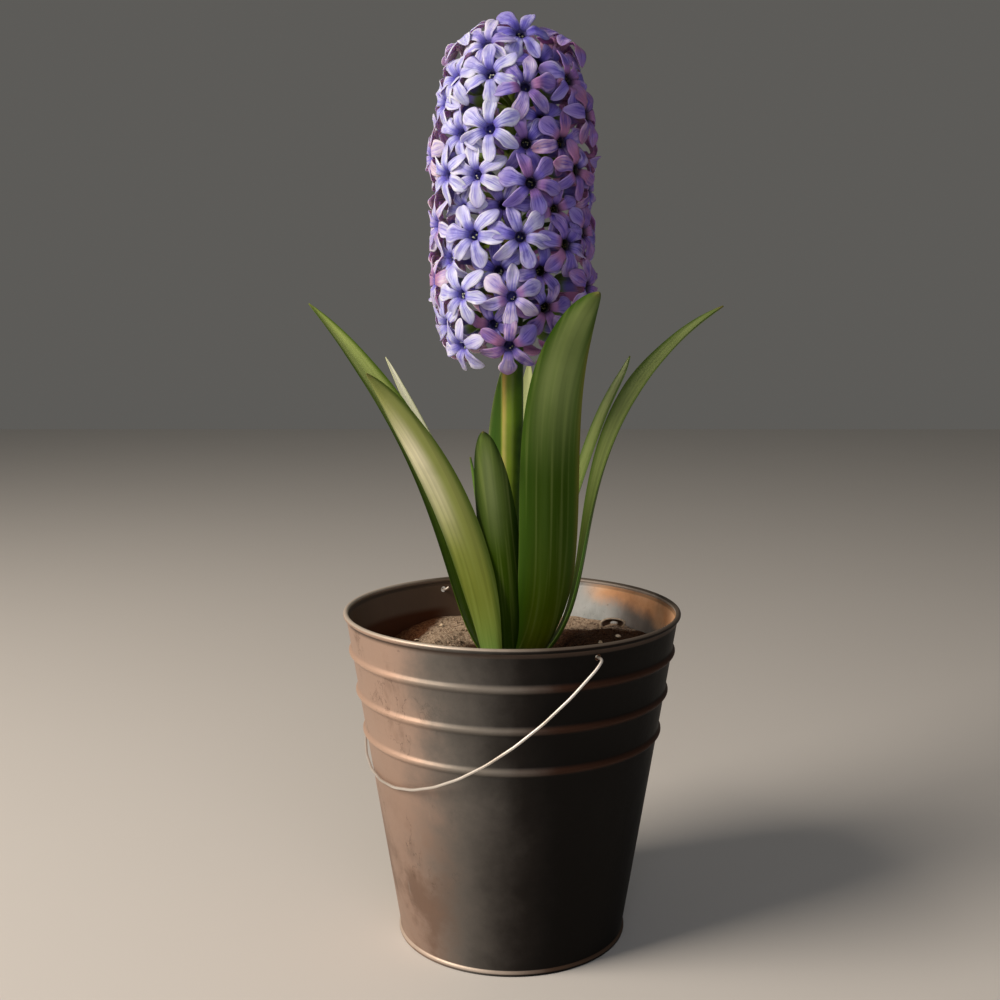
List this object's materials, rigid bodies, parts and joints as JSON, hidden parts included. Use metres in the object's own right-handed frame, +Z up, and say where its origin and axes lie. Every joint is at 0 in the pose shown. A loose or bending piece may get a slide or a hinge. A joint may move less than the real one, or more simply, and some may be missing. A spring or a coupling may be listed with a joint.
{
  "type": "potted hyacinth plant",
  "caption": "Hyacinth in full flower, growing from its bulb in soil inside a tapered sheet-metal bucket with rolled rim, raised rings and a swinging wire bail.",
  "frame": {"origin": "on the bucket's axis, on the floor that its foot ring stands on", "axes": "+Z up along the flower stalk, -Y towards the viewer of the picture, +X to that viewer's right"},
  "size_m": [0.2078, 0.17, 0.4519],
  "materials": {
    "bucket_metal": "aged galvanised sheet with a warm brown patina",
    "bail_wire": "bright drawn wire",
    "soil": "dry crumbly potting soil",
    "bulb_skin": "papery purple-brown tunic",
    "flower": "waxy lavender to violet petals on a green stalk",
    "leaf": "smooth satin leaf"
  },
  "bodies": {
    "bucket": {"bucket_wall": "bucket_metal", "bucket_bottom": "bucket_metal", "soil": "soil", "bulb": "bulb_skin", "flower_spike": "flower", "leaf_1": "leaf", "leaf_2": "leaf", "leaf_3": "leaf", "leaf_4": "leaf", "leaf_5": "leaf", "leaf_6": "leaf", "leaf_7": "leaf", "leaf_8": "leaf", "leaf_9": "leaf", "leaf_10": "leaf"},
    "bail": {"bail": "bail_wire"}
  },
  "joints": [
    {"name": "bail_swing", "type": "hinge", "parent": "bucket", "child": "bail", "pos_m": [0, 0, 0.1615], "axis": [-0.4617, 0.887, 0], "range_deg": [0, 95]}
  ]
}
